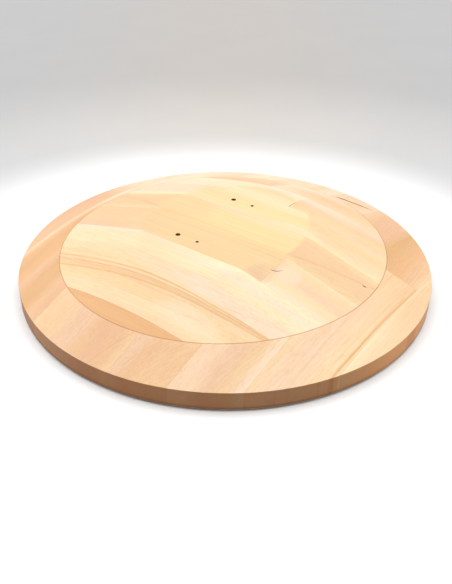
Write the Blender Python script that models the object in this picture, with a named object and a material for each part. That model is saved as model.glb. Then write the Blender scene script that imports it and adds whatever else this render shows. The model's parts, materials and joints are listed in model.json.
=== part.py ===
"""Lazy susan: a turned, cross-laminated wooden platter on a ball-bearing base in its underside.

Metres, +Z up. The origin is on the spin axis, in the plane that the feet stand on. The platter is
two layers of glued staves, the upper layer square to the lower one, turned to a shallow cone with
a flat oval top. The base is a round board on rubber feet, and a pressed-steel ball bearing joins
the two. Everything is modelled in place, so each moving piece has its origin on the spin axis.
"""

import math

import bmesh
import bpy
from mathutils import Vector

# Air between pieces that touch, are glued or run past each other
GAP = 0.0003

# Platter: heights from the table
RIM_RADIUS = 0.225
RIM_BOTTOM = 0.0025
RIM_TOP = 0.022
GLUE_LINE = 0.0385
PLATTER_TOP = 0.0644
RIM_CHAMFER = 0.001
PLATTER_SEGMENTS = 120

# Platter: the level lines of the cone. Half axes, turn from +X and centre
LAYUP_TURN = math.radians(54.2)
TOP_OVAL = (0.1013, 0.0853)
GLUE_OVAL = (0.1794, 0.1739)
GLUE_OVAL_TURN = math.radians(33.5)
GLUE_OVAL_CENTRE = (-0.0014, -0.0011)

# Staves: seams across the grain, and butt joints along it, as {stave: place}
LOWER_SEAMS = (-0.2014, -0.1456, -0.0873, -0.0308, 0.0243, 0.0794, 0.1346, 0.1865)
LOWER_BUTTS = {1: 0.0614, 3: 0.1870, 7: 0.0460}
UPPER_SEAMS = (-0.1627, -0.1136, -0.0638, -0.0161, 0.0308, 0.0767, 0.1226)
UPPER_BUTTS = {3: -0.0889, 5: 0.0799, 6: -0.0322, 7: 0.0214}

# Holes in the flat top: two pairs, along and across the oval
PEG_HOLE_RADIUS = 0.00275
PEG_HOLE_DEPTH = 0.025
PILOT_HOLE_RADIUS = 0.00175
PILOT_HOLE_DEPTH = 0.020
HOLE_PAIR_SPACING = 0.1014
HOLE_PAIRS_MIDDLE = 0.0028
PEG_HOLE_ACROSS = 0.0278
PILOT_HOLE_ACROSS = 0.0020

# Base board and feet
BASE_RADIUS = 0.120
BASE_BOTTOM = 0.004
BASE_TOP = 0.014
BASE_CHAMFER = 0.0015
BASE_SEGMENTS = 72
FOOT_RADIUS = 0.012
FOOT_CIRCLE = 0.100
FOOT_RECESS_RADIUS = 0.0045
FOOT_RECESS_TOP = 0.0024
ACCESS_HOLE_RADIUS = 0.011

# Bearing: a pressed plate each side of one ring of caged balls
SHEET = 0.0012
BEARING_SEGMENTS = 48
RACE_RADIUS = 0.088
BALL_COUNT = 12
BALL_RADIUS = 0.0025
RACE_DEPTH = 0.0019
CAGE_HALF_WIDTH = 0.004
EYELET_RADIUS = 0.006
EYELET_BORE = 0.004
EYELET_FLANGE_RADIUS = 0.009
EYELET_FLANGE = 0.001

# Screws
SCREW_RADIUS = 0.002
SCREW_HEAD_RADIUS = 0.0035
SCREW_HEAD = 0.0018
SCREW_CLEARANCE = SCREW_RADIUS + GAP
BASE_SCREW_CIRCLE = 0.040
PLATTER_SCREW_CIRCLE = 0.060
SCREW_COUNT = 4
BASE_SCREW_LENGTH = 0.0085
PLATTER_SCREW_LENGTH = 0.0135
FOOT_SCREW_LENGTH = 0.0090

# Heights that follow from the ones above
BEARING_BOTTOM = BASE_TOP + GAP
BALL_HEIGHT = BEARING_BOTTOM + SHEET + GAP + BALL_RADIUS
BEARING_TOP = 2 * BALL_HEIGHT - BEARING_BOTTOM
RECESS_TOP = BEARING_TOP + GAP
RECESS_RADIUS = BASE_RADIUS + 0.010

# Finishes: colour, roughness, metallic
WOOD_TONES = {
    "cream": (0.87, 0.70, 0.45),
    "honey": (0.82, 0.58, 0.33),
    "peach": (0.80, 0.52, 0.31),
    "orange": (0.72, 0.40, 0.19),
}
LOWER_TONES = ("cream", "cream", "orange", "honey", "peach", "peach", "orange", "peach",
               "orange", "cream", "peach", "honey")
UPPER_TONES = ("orange", "cream", "cream", "cream", "peach", "honey", "peach", "cream",
               "peach", "cream", "honey", "peach")
WOOD_ROUGHNESS = 0.45
STEEL = ((0.62, 0.63, 0.65), 0.35, 1.0)
BRASS = ((0.78, 0.60, 0.30), 0.35, 1.0)
BALL_STEEL = ((0.75, 0.76, 0.78), 0.12, 1.0)
CAGE_NYLON = ((0.85, 0.84, 0.80), 0.50, 0.0)
RUBBER = ((0.035, 0.035, 0.037), 0.80, 0.0)
BASE_WOOD = (WOOD_TONES["honey"], WOOD_ROUGHNESS, 0.0)


def clear_scene():
    for thing in list(bpy.data.objects):
        bpy.data.objects.remove(thing, do_unlink=True)


def finish(name, colour, roughness, metallic):
    """A plain material for one piece."""
    material = bpy.data.materials.new(name + "_finish")
    material.use_nodes = True
    shader = material.node_tree.nodes["Principled BSDF"]
    shader.inputs["Base Color"].default_value = (*colour, 1.0)
    shader.inputs["Roughness"].default_value = roughness
    shader.inputs["Metallic"].default_value = metallic
    return material


def add_piece(name, bm, look, parent):
    """Turn a finished bmesh into a named object of its own, smooth except at its edges."""
    bmesh.ops.recalc_face_normals(bm, faces=bm.faces[:])
    mesh = bpy.data.meshes.new(name)
    bm.to_mesh(mesh)
    bm.free()
    mesh.shade_smooth()
    mesh.set_sharp_from_angle(angle=math.radians(30))
    piece = bpy.data.objects.new(name, mesh)
    bpy.context.collection.objects.link(piece)
    mesh.materials.append(finish(name, *look))
    piece.parent = parent
    return piece


def add_axis(name):
    """An empty on the spin axis that carries the pieces of one body."""
    axis = bpy.data.objects.new(name, None)
    axis.empty_display_size = 0.05
    bpy.context.collection.objects.link(axis)
    return axis


def heading(angle):
    """The level unit vector at an angle from +X."""
    return Vector((math.cos(angle), math.sin(angle), 0.0))


def around(circle, count, start=0.0):
    """Evenly spaced places on a circle about the spin axis."""
    return [circle * heading(start + math.tau * step / count) for step in range(count)]


# Solids from rings

def join_rings(bm, rings, closed):
    """Skin neighbouring rings. A ring of one vertex is a pole."""
    pairs = list(zip(rings, rings[1:]))
    if closed:
        pairs.append((rings[-1], rings[0]))
    for lower, upper in pairs:
        count = max(len(lower), len(upper))
        for step in range(count):
            following = (step + 1) % count
            corners = [lower[step % len(lower)], lower[following % len(lower)],
                       upper[following % len(upper)], upper[step % len(upper)]]
            bm.faces.new(list(dict.fromkeys(corners)))


def lathe(bm, profile, segments, centre=Vector((0.0, 0.0, 0.0)), closed=False):
    """Turn (radius, height) points about a vertical line. Closed profiles make rings."""
    rings = []
    for radius, height in profile:
        middle = Vector((centre.x, centre.y, height))
        spots = [middle]
        if radius > 0.0:
            spots = [middle + place for place in around(radius, segments)]
        rings.append([bm.verts.new(spot) for spot in spots])
    join_rings(bm, rings, closed)


def turned(profile, segments, centres=(Vector((0.0, 0.0, 0.0)),), closed=False):
    """One turned solid at each centre, all in one bmesh."""
    bm = bmesh.new()
    for centre in centres:
        lathe(bm, profile, segments, centre, closed)
    return bm


def sheet_profile(path, thickness):
    """The closed outline of a pressed sheet that follows a (radius, height) path."""
    points = [Vector(point) for point in path]
    sides = []
    for place, point in enumerate(points):
        before = (point - points[max(place - 1, 0)]).normalized()
        after = (points[min(place + 1, len(points) - 1)] - point).normalized()
        along = (before + after).normalized()
        square = Vector((-along.y, along.x))
        reach = thickness / 2 / max(along.dot(after), along.dot(before))
        sides.append((point + square * reach, point - square * reach))
    upper = [tuple(side[0]) for side in sides]
    lower = [tuple(side[1]) for side in reversed(sides)]
    return upper + lower


# Cutting

def add_cutter(name, bm):
    """A hidden solid that takes material out of others."""
    cutter = add_piece(name, bm, STEEL, None)
    cutter.hide_render = True
    cutter.display_type = "WIRE"
    return cutter


def post(radius, bottom, top):
    """The profile of a plain upright cylinder."""
    return ((0.0, bottom), (radius, bottom), (radius, top), (0.0, top))


def cut(piece, cutter):
    """Take a cutter's shape out of a piece."""
    modifier = piece.modifiers.new(cutter.name, "BOOLEAN")
    modifier.operation = "DIFFERENCE"
    modifier.solver = "EXACT"
    modifier.object = cutter


def keep_between(bm, direction, low, high):
    """Cut a solid back to the slab between two places along a direction, half a gap inside each."""
    for place, side in ((low, -1.0), (high, 1.0)):
        if place is None:
            continue
        bmesh.ops.bisect_plane(
            bm, geom=bm.verts[:] + bm.edges[:] + bm.faces[:], dist=1e-7,
            plane_co=direction * (place - side * GAP / 2), plane_no=direction * side,
            clear_outer=True)
        bmesh.ops.holes_fill(bm, edges=[edge for edge in bm.edges if edge.is_boundary], sides=0)


# Platter

def oval_ring(bm, half_axes, turn, centre, height):
    """Vertices on a level oval, at the same headings as on every other ring."""
    long_half, short_half = half_axes
    ring = []
    for step in range(PLATTER_SEGMENTS):
        angle = math.tau * step / PLATTER_SEGMENTS
        reach = 1.0 / math.hypot(math.cos(angle - turn) / long_half, math.sin(angle - turn) / short_half)
        ring.append(bm.verts.new(Vector((*centre, height)) + reach * heading(angle)))
    return ring


def circle_ring(bm, radius, height):
    return oval_ring(bm, (radius, radius), 0.0, (0.0, 0.0), height)


def lower_layer():
    """The whole lower layer: rim, cone up to the glue line, and the recess for the base."""
    bm = bmesh.new()
    rings = [
        circle_ring(bm, RECESS_RADIUS, RECESS_TOP),
        circle_ring(bm, RECESS_RADIUS, RIM_BOTTOM),
        circle_ring(bm, RIM_RADIUS - RIM_CHAMFER, RIM_BOTTOM),
        circle_ring(bm, RIM_RADIUS, RIM_BOTTOM + RIM_CHAMFER),
        circle_ring(bm, RIM_RADIUS, RIM_TOP),
        oval_ring(bm, GLUE_OVAL, GLUE_OVAL_TURN, GLUE_OVAL_CENTRE, GLUE_LINE - GAP / 2),
    ]
    join_rings(bm, rings, closed=False)
    bm.faces.new(rings[0])
    bm.faces.new(rings[-1])
    return bm


def upper_layer():
    """The whole upper layer: the cone from the glue line to the flat oval top."""
    bm = bmesh.new()
    rings = [
        oval_ring(bm, GLUE_OVAL, GLUE_OVAL_TURN, GLUE_OVAL_CENTRE, GLUE_LINE + GAP / 2),
        oval_ring(bm, TOP_OVAL, LAYUP_TURN, (0.0, 0.0), PLATTER_TOP),
    ]
    join_rings(bm, rings, closed=False)
    bm.faces.new(rings[0])
    bm.faces.new(rings[-1])
    return bm


def saw_staves(layer, label, across, along, seams, butts, tones, parent):
    """Saw a layer into staves, and a stave in two where it has a butt joint."""
    pieces = []
    edges = (None, *seams, None)
    for stave in range(len(edges) - 1):
        joint = butts.get(stave)
        lengths = [(None, None)] if joint is None else [(None, joint), (joint, None)]
        for start, end in lengths:
            bm = layer()
            keep_between(bm, across, edges[stave], edges[stave + 1])
            keep_between(bm, along, start, end)
            name = f"{label}_stave_{len(pieces) + 1:02d}"
            look = (WOOD_TONES[tones[len(pieces)]], WOOD_ROUGHNESS, 0.0)
            pieces.append(add_piece(name, bm, look, parent))
    return pieces


def holds(piece, place, radius):
    """Whether a round hole at a place lies wholly inside a stave's box in plan, seen along the layup."""
    for direction in (heading(LAYUP_TURN), heading(LAYUP_TURN + math.pi / 2)):
        reach = [direction.dot(vertex.co) for vertex in piece.data.vertices]
        spot = direction.dot(place)
        if not min(reach) < spot - radius < spot + radius < max(reach):
            return False
    return True


def drill(pieces, name, places, radius, bottom, top, segments):
    """Drill one hole at each place, in the stave that holds it."""
    cutter = add_cutter(name, turned(post(radius, bottom, top), segments, places))
    for piece in pieces:
        if any(holds(piece, place, radius) for place in places):
            cut(piece, cutter)


def hole_pair(across):
    """The two places of one pair of holes in the flat top."""
    offset = across * heading(LAYUP_TURN + math.pi / 2)
    places = []
    for side in (-1.0, 1.0):
        place = HOLE_PAIRS_MIDDLE + side * HOLE_PAIR_SPACING / 2
        places.append(place * heading(LAYUP_TURN) + offset)
    return places


def build_platter(parent):
    with_grain = heading(LAYUP_TURN)
    against_grain = heading(LAYUP_TURN + math.pi / 2)
    lower = saw_staves(lower_layer, "lower", against_grain, with_grain,
                       LOWER_SEAMS, LOWER_BUTTS, LOWER_TONES, parent)
    upper = saw_staves(upper_layer, "upper", with_grain, against_grain,
                       UPPER_SEAMS, UPPER_BUTTS, UPPER_TONES, parent)
    clear = PLATTER_TOP + 0.002
    drill(upper, "peg_hole_drill", hole_pair(PEG_HOLE_ACROSS), PEG_HOLE_RADIUS,
          PLATTER_TOP - PEG_HOLE_DEPTH, clear, 20)
    drill(upper, "pilot_hole_drill", hole_pair(PILOT_HOLE_ACROSS), PILOT_HOLE_RADIUS,
          PLATTER_TOP - PILOT_HOLE_DEPTH, clear, 16)
    drill(lower, "platter_screw_drill", platter_screw_places(), SCREW_CLEARANCE,
          RECESS_TOP - 0.002, RECESS_TOP + PLATTER_SCREW_LENGTH, 12)
    drill(lower, "eyelet_pocket_drill", [Vector((0.0, 0.0, 0.0))], EYELET_FLANGE_RADIUS + 0.001,
          RECESS_TOP - 0.002, RECESS_TOP + EYELET_FLANGE + 2 * GAP, 24)


# Screws

def base_screw_places():
    return around(BASE_SCREW_CIRCLE, SCREW_COUNT, LAYUP_TURN)


def platter_screw_places():
    return around(PLATTER_SCREW_CIRCLE, SCREW_COUNT, LAYUP_TURN + math.pi / 4)


def foot_places():
    return around(FOOT_CIRCLE, SCREW_COUNT, LAYUP_TURN + math.pi / 4)


def screw_profile(seat, length, way):
    """A pan-head screw whose head rests on a seat. way is +1 to point up, -1 to point down."""
    head = seat - way * SCREW_HEAD
    tip = seat + way * length
    return (
        (0.0, head),
        (SCREW_HEAD_RADIUS * 0.75, head),
        (SCREW_HEAD_RADIUS, head + way * SCREW_HEAD * 0.6),
        (SCREW_HEAD_RADIUS, seat),
        (SCREW_RADIUS, seat),
        (SCREW_RADIUS, tip - way * SCREW_RADIUS * 1.5),
        (0.0, tip),
    )


def add_screws(name, places, seat, length, way, parent):
    for number, place in enumerate(places, start=1):
        bm = turned(screw_profile(seat, length, way), 12, [place])
        add_piece(f"{name}_{number}", bm, STEEL, parent)


# Base board and feet

def build_base_board(parent):
    """The round board, with holes for the screws, a pocket for the eyelet and an access hole."""
    profile = (
        (0.0, BASE_BOTTOM),
        (BASE_RADIUS - BASE_CHAMFER, BASE_BOTTOM),
        (BASE_RADIUS, BASE_BOTTOM + BASE_CHAMFER),
        (BASE_RADIUS, BASE_TOP - BASE_CHAMFER),
        (BASE_RADIUS - BASE_CHAMFER, BASE_TOP),
        (0.0, BASE_TOP),
    )
    board = add_piece("base_board", turned(profile, BASE_SEGMENTS), BASE_WOOD, parent)
    past = 0.002
    drills = (
        ("foot_screw_drill", foot_places(), SCREW_CLEARANCE, BASE_BOTTOM - past, BASE_TOP - 0.0015, 12),
        ("base_screw_drill", base_screw_places(), SCREW_CLEARANCE, BASE_BOTTOM + 0.0015, BASE_TOP + past, 12),
        ("eyelet_foot_drill", [Vector((0.0, 0.0, 0.0))], EYELET_FLANGE_RADIUS + 0.001,
         BASE_TOP - EYELET_FLANGE - 2 * GAP, BASE_TOP + past, 24),
        ("board_access_drill", platter_screw_places()[:1], ACCESS_HOLE_RADIUS,
         BASE_BOTTOM - past, BASE_TOP + past, 24),
    )
    for name, places, radius, bottom, top, segments in drills:
        cut(board, add_cutter(name, turned(post(radius, bottom, top), segments, places)))


def build_feet(parent):
    """Four rubber feet, each with a recess for the head of its screw."""
    top = BASE_BOTTOM - GAP
    profile = (
        (FOOT_RECESS_RADIUS, 0.0),
        (FOOT_RADIUS - 0.001, 0.0),
        (FOOT_RADIUS, 0.001),
        (FOOT_RADIUS, top),
        (SCREW_CLEARANCE, top),
        (SCREW_CLEARANCE, FOOT_RECESS_TOP),
        (FOOT_RECESS_RADIUS, FOOT_RECESS_TOP),
    )
    for number, place in enumerate(foot_places(), start=1):
        add_piece(f"rubber_foot_{number}", turned(profile, 20, [place], closed=True), RUBBER, parent)
    add_screws("foot_screw", foot_places(), FOOT_RECESS_TOP - GAP, FOOT_SCREW_LENGTH, 1.0, parent)


# Bearing

def race_plate_path(way):
    """The middle of a race plate's sheet, from the eyelet out. way is -1 below the balls, +1 above."""
    flat = BALL_HEIGHT + way * (BALL_RADIUS + GAP + SHEET / 2)
    ridge = flat - way * RACE_DEPTH
    return (
        (EYELET_RADIUS + GAP, flat),
        (RACE_RADIUS - 0.0065, flat),
        (RACE_RADIUS - 0.0050, ridge),
        (RACE_RADIUS - 0.0040, ridge),
        (RACE_RADIUS - 0.0016, flat),
        (RACE_RADIUS + 0.0016, flat),
        (RACE_RADIUS + 0.0040, ridge),
        (RACE_RADIUS + 0.0055, ridge),
    )


def build_race_plate(name, way, screw_places, parent):
    profile = sheet_profile(race_plate_path(way), SHEET)
    plate = add_piece(name, turned(profile, BEARING_SEGMENTS, closed=True), STEEL, parent)
    flat = race_plate_path(way)[0][1]
    holes = turned(post(SCREW_CLEARANCE, flat - SHEET, flat + SHEET), 12, screw_places)
    cut(plate, add_cutter(name + "_screw_drill", holes))
    return plate


def build_bearing(base, cage, platter):
    lower = build_race_plate("bearing_lower_plate", -1.0, base_screw_places(), base)
    access = post(ACCESS_HOLE_RADIUS, BEARING_BOTTOM - SHEET, BEARING_BOTTOM + 2 * SHEET)
    cut(lower, add_cutter("plate_access_drill", turned(access, 24, platter_screw_places()[:1])))
    build_race_plate("bearing_upper_plate", 1.0, platter_screw_places(), platter)
    add_screws("base_plate_screw", base_screw_places(), BEARING_BOTTOM + SHEET + GAP,
               BASE_SCREW_LENGTH, -1.0, base)
    add_screws("platter_plate_screw", platter_screw_places(), BEARING_TOP - SHEET - GAP,
               PLATTER_SCREW_LENGTH, 1.0, platter)
    build_eyelet(base)
    build_cage(cage)


def build_eyelet(parent):
    """The tube through both plates. Its flanges keep the plates together."""
    bottom = BEARING_BOTTOM - GAP
    top = BEARING_TOP + GAP
    profile = (
        (EYELET_BORE, bottom - EYELET_FLANGE),
        (EYELET_FLANGE_RADIUS, bottom - EYELET_FLANGE),
        (EYELET_FLANGE_RADIUS, bottom),
        (EYELET_RADIUS, bottom),
        (EYELET_RADIUS, top),
        (EYELET_FLANGE_RADIUS, top),
        (EYELET_FLANGE_RADIUS, top + EYELET_FLANGE),
        (EYELET_BORE, top + EYELET_FLANGE),
    )
    add_piece("centre_eyelet", turned(profile, 24, closed=True), BRASS, parent)


def build_cage(parent):
    """The flat ring that keeps the balls apart, and the balls in its pockets."""
    half = SHEET / 2
    profile = (
        (RACE_RADIUS - CAGE_HALF_WIDTH, BALL_HEIGHT - half),
        (RACE_RADIUS + CAGE_HALF_WIDTH, BALL_HEIGHT - half),
        (RACE_RADIUS + CAGE_HALF_WIDTH, BALL_HEIGHT + half),
        (RACE_RADIUS - CAGE_HALF_WIDTH, BALL_HEIGHT + half),
    )
    ring = add_piece("ball_cage", turned(profile, BEARING_SEGMENTS, closed=True), CAGE_NYLON, parent)
    places = around(RACE_RADIUS, BALL_COUNT)
    pocket = post(BALL_RADIUS + GAP, BALL_HEIGHT - SHEET, BALL_HEIGHT + SHEET)
    cut(ring, add_cutter("ball_pocket_drill", turned(pocket, 12, places)))
    for number, place in enumerate(places, start=1):
        bm = bmesh.new()
        bmesh.ops.create_icosphere(bm, subdivisions=2, radius=BALL_RADIUS)
        bmesh.ops.translate(bm, verts=bm.verts[:], vec=place + Vector((0.0, 0.0, BALL_HEIGHT)))
        add_piece(f"ball_{number:02d}", bm, BALL_STEEL, parent)


def main():
    clear_scene()
    base = add_axis("base_axis")
    cage = add_axis("cage_axis")
    platter = add_axis("platter_axis")
    build_platter(platter)
    build_base_board(base)
    build_feet(base)
    build_bearing(base, cage, platter)


main()
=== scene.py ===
import json
import math

import bmesh
import bpy
from mathutils import Matrix, Vector

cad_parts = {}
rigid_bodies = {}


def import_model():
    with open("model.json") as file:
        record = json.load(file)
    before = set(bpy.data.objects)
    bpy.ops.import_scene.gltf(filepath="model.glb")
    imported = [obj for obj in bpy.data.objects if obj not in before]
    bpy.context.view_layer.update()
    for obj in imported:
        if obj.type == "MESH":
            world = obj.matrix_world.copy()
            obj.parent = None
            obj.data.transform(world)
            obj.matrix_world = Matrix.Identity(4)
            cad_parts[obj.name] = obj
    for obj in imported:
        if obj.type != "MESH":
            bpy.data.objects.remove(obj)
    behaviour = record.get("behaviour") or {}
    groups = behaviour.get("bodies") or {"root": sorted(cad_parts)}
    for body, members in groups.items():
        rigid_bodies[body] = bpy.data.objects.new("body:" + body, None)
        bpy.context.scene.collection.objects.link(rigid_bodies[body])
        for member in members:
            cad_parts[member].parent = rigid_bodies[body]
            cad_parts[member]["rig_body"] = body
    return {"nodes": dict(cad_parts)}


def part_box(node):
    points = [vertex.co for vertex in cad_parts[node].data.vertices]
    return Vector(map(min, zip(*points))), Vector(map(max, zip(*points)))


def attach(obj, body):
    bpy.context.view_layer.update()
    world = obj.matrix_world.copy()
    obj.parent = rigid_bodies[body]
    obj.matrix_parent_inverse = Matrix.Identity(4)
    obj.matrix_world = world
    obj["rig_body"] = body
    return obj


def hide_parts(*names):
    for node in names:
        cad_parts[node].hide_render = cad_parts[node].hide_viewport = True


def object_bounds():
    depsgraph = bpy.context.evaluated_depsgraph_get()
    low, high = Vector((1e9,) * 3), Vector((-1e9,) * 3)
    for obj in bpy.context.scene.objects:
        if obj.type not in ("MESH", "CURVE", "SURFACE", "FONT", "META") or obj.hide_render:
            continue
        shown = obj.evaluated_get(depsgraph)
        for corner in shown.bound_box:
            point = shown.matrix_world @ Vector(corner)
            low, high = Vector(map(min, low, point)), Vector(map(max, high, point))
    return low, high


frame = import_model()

CAD_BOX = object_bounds()
MM = 0.001
Z_AXIS = Vector((0.0, 0.0, 1.0))

# Clearances: between pieces that touch, and between the base board and the platter that turns round it
PLATE_GAP = 0.3 * MM
RUNNING_GAP = 10 * MM

# Sizes that the frame gives
RIM_RADIUS = CAD_BOX[1].x
PLATTER_TOP = CAD_BOX[1].z
RIM_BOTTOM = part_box("lower_stave_07")[0].z
GLUE_LINE = (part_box("lower_stave_07")[1].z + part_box("upper_stave_06")[0].z) / 2
RECESS_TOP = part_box("bearing_upper_plate")[1].z + PLATE_GAP
BASE_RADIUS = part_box("base_board")[1].x
RECESS_RADIUS = BASE_RADIUS + RUNNING_GAP

# Level lines of the turned surface, as in the CAD
RIM_TOP = 22 * MM
LAYUP_TURN = math.radians(54.2)
TOP_OVAL = (101.3 * MM, 85.3 * MM)
GLUE_OVAL = (179.4 * MM, 173.9 * MM)
GLUE_OVAL_TURN = math.radians(33.5)
GLUE_OVAL_CENTRE = Vector((-1.4 * MM, -1.1 * MM, 0.0))

# Seams, in millimetres across the staves, and butt joints, in millimetres along them
LOWER_SEAMS = (-201.4, -145.6, -87.3, -30.8, 24.3, 79.4, 134.6, 186.5)
LOWER_BUTTS = {1: 61.4, 3: 187.0, 7: 46.0}
UPPER_SEAMS = (-162.7, -113.6, -63.8, -16.1, 30.8, 76.7, 122.6)
UPPER_BUTTS = {3: -88.9, 5: 79.9, 6: -32.2, 7: 21.4}

# Holes in the flat top: their pairs lie along the oval. Each kind has its place across the oval in
# millimetres, its radius, its depth and the wear of its mouth.
HOLE_PAIRS = (-47.9, 53.5)
HOLE_KINDS = (
    (27.8, 2.75 * MM, 25 * MM, 0.35 * MM),
    (2.0, 1.75 * MM, 20 * MM, 0.2 * MM),
)

# Fineness of the turned surface
SPOKES = 360
FLAT_RINGS = (0.25, 0.5, 0.7, 0.82)
CREASE_RINGS = (-11, -8, -6, -4.5, -3.5, -2.5, -1.5, -0.5, 0.5, 1.5, 2.5, 3.5, 4.5, 6, 8, 11)
CONE_STEPS = 8
WALL_RINGS = (16 * MM, 10 * MM, 6 * MM)
BOTTOM_RING = 180 * MM
CREASE_SOFTNESS = 2.0 * MM
GLUE_CHAMFER = 0.15 * MM
GLUE_HALF_GAP = 0.02 * MM
RIM_EDGE = 0.5 * MM
FOOT_EDGE = 1.0 * MM
RECESS_EDGE = 0.6 * MM
SHARP_ANGLE = math.radians(35)
HOLE_SEGMENTS = 40
RING_SEGMENTS = 72

# Marks of wear: the layer and the staves that each is in, then its line along and across the oval, its
# widths on that line and its depth, in millimetres. They are an open joint, a curved crack, two gaping
# butt joints and a knot.
MARKS = (
    ("lower", (5, 6), ((183.2, -36.0), (184.8, -44.0), (187.0, -57.0), (189.6, -71.0), (192.6, -83.5)),
     (0.6, 3.0, 2.6, 2.0, 0.5), 12.0),
    ("upper", (4, 5), ((-43.3, -86.2), (-42.8, -88.6), (-41.6, -91.2), (-39.4, -93.4), (-36.8, -94.8),
                       (-33.8, -95.6)), (0.3, 0.8, 0.9, 0.6, 0.35, 0.15), 1.2),
    ("upper", (9, 10), ((77.2, -32.2), (82.0, -32.2), (88.5, -32.4)), (0.6, 0.6, 0.3), 1.2),
    ("upper", (7,), ((31.2, 79.9), (34.0, 79.9)), (0.7, 0.3), 1.2),
    ("upper", (6,), ((13.7, -160.6), (14.0, -162.4), (14.3, -164.0), (14.5, -165.2)),
     (0.3, 0.8, 1.4, 0.5), 1.2),
)

# Hardware under the platter
AXIS = Vector((0.0, 0.0, 0.0))
BOARD_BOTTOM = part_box("base_board")[0].z
BOARD_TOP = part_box("base_board")[1].z
PLY_COUNT = 7
BLIND_END = 1.5 * MM
SHEET = 1.2 * MM
BEARING_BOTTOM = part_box("bearing_lower_plate")[0].z
BEARING_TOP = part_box("bearing_upper_plate")[1].z
BALL_HEIGHT = (BEARING_BOTTOM + BEARING_TOP) / 2
BALL_RADIUS = 2.5 * MM
RACE_RADIUS = 88 * MM
RACE_DEPTH = 1.9 * MM
# Bends of a race plate, in millimetres from the ball track, and whether each is on the raised ridge
RACE_BENDS = ((-6.5, False), (-5.0, True), (-4.0, True), (-1.6, False), (1.6, False), (4.0, True))
RACE_LIP = 5.5 * MM
CAGE_HALF_WIDTH = 4 * MM
EYELET_BORE = 4 * MM
EYELET_TUBE = 6 * MM
EYELET_FLANGE_RADIUS = 9 * MM
EYELET_FLANGE = 1 * MM
EYELET_POCKET = 10 * MM
EYELET_POCKET_DEPTH = 1.6 * MM
POCKET_FLARE = 0.2 * MM
ACCESS_HOLE = 11 * MM
SCREW_HOLE = 2.3 * MM
SCREW_HOLE_FLARE = 0.3 * MM
SCREW_RADIUS = 2 * MM
SCREW_CORE = 1.3 * MM
SCREW_HEAD_RADIUS = 3.5 * MM
SCREW_HEAD = 1.8 * MM
SCREW_TIP = 3 * MM
DOME_STEPS = 8
DOME_FLATNESS = 0.6
THREAD_PITCH = 1.6 * MM
ROWS_PER_PITCH = 8
SCREW_SEGMENTS = 32
# The cross recess narrows: depth below the head's top, half length and half width, in millimetres
CROSS_RECESS = ((-1.0, 2.1, 0.5), (0.0, 1.8, 0.42), (1.1, 0.7, 0.28))
PLATTER_SCREW_LENGTH = 13.5 * MM
BASE_SCREW_LENGTH = 8.5 * MM
FOOT_SCREW_LENGTH = 9.0 * MM
FOOT_RECESS_TOP = 2.4 * MM
FOOT_RECESS = 4.5 * MM
FOOT_RADIUS = 12 * MM
FOOT_DRAFT = 0.5 * MM
GROOVE_INNER = 7.2 * MM
GROOVE_OUTER = 8.6 * MM
GROOVE_SLANT = 0.3 * MM
GROOVE_DEPTH = 0.5 * MM

# Camera and light
CAMERA_PLACE = (1.06 * MM, -715.34 * MM, 459.43 * MM)
CAMERA_DOWN = math.radians(34.046)
CAMERA_ROLL = math.radians(0.666)
CAMERA_LENS = 46.26
SENSOR = 36.0
FLOOR_HALF = 8.0
# The floor's tone, with a painted pool of light: painted darker outside the pool's edge, and darker still
# further out
FLOOR_TONE = 0.62
FLOOR_TONE_PAINTED_OUTSIDE = 0.35
FLOOR_WARMTH = (1.07, 1.0, 0.94)
PAINTED_POOL_CENTRE = -0.06
PAINTED_POOL_EDGE = (0.30, 0.48)
PAINTED_FALLOFF = (0.44, 0.81)
PAINTED_FALLOFF_TONE = 0.78
# Where the floor is warm: it starts behind the platter, ends far back, and fades to both sides
WARM_START = (0.25, 0.45)
WARM_END = (1.9, 1.2)
WARM_SIDES = (0.45, 0.0)
# Lights in the studio's dark dome: direction, cosines of the edge and of the full strength, strength
SOFTBOXES = (
    ((0.0, 0.0, 1.0), 0.78, 0.95, 5.4),
    ((-0.95, 0.25, 0.12), 0.35, 0.95, 3.9),
    ((0.95, 0.25, 0.12), 0.35, 0.95, 3.5),
    ((0.0, -1.0, 0.1), 0.4, 0.95, 0.2),
)


def heading(angle):
    return Vector((math.cos(angle), math.sin(angle), 0.0))


WITH_LAYUP = heading(LAYUP_TURN)
ACROSS_LAYUP = heading(LAYUP_TURN + math.pi / 2)


# Turned layers

def oval_reach(half_axes, turn, angle):
    long_half, short_half = half_axes
    return 1.0 / math.hypot(math.cos(angle - turn) / long_half, math.sin(angle - turn) / short_half)


def top_edge(angle):
    """The edge of the flat oval top."""
    return oval_reach(TOP_OVAL, LAYUP_TURN, angle) * heading(angle)


def glue_edge(angle):
    """The place where the glue line meets the cone."""
    return GLUE_OVAL_CENTRE + oval_reach(GLUE_OVAL, GLUE_OVAL_TURN, angle) * heading(angle)


def at_height(place, height):
    return Vector((place.x, place.y, height))


def softened_drop(distance):
    """How far a unit slope has dropped at a distance past a softened crease."""
    if distance > 20 * CREASE_SOFTNESS:
        return distance
    return CREASE_SOFTNESS * math.log1p(math.exp(distance / CREASE_SOFTNESS))


def upper_ring_points(angle):
    """One spoke of the upper layer's surface, from near the centre out to the glue line."""
    inner, outer = top_edge(angle), glue_edge(angle)
    run = (outer - inner).length
    out = (outer - inner).normalized()
    drop = PLATTER_TOP - GLUE_LINE
    last = softened_drop(run)
    points = [at_height(inner * share, PLATTER_TOP) for share in FLAT_RINGS]
    distances = [offset * MM for offset in CREASE_RINGS]
    start, end = distances[-1], run - GLUE_CHAMFER
    distances += [start + (end - start) * step / CONE_STEPS for step in range(1, CONE_STEPS + 1)]
    for distance in distances:
        height = PLATTER_TOP - drop * softened_drop(distance) / last
        points.append(at_height(inner + out * distance, height))
    points.append(at_height(outer - out * GLUE_CHAMFER, GLUE_LINE + GLUE_HALF_GAP))
    return points


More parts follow.
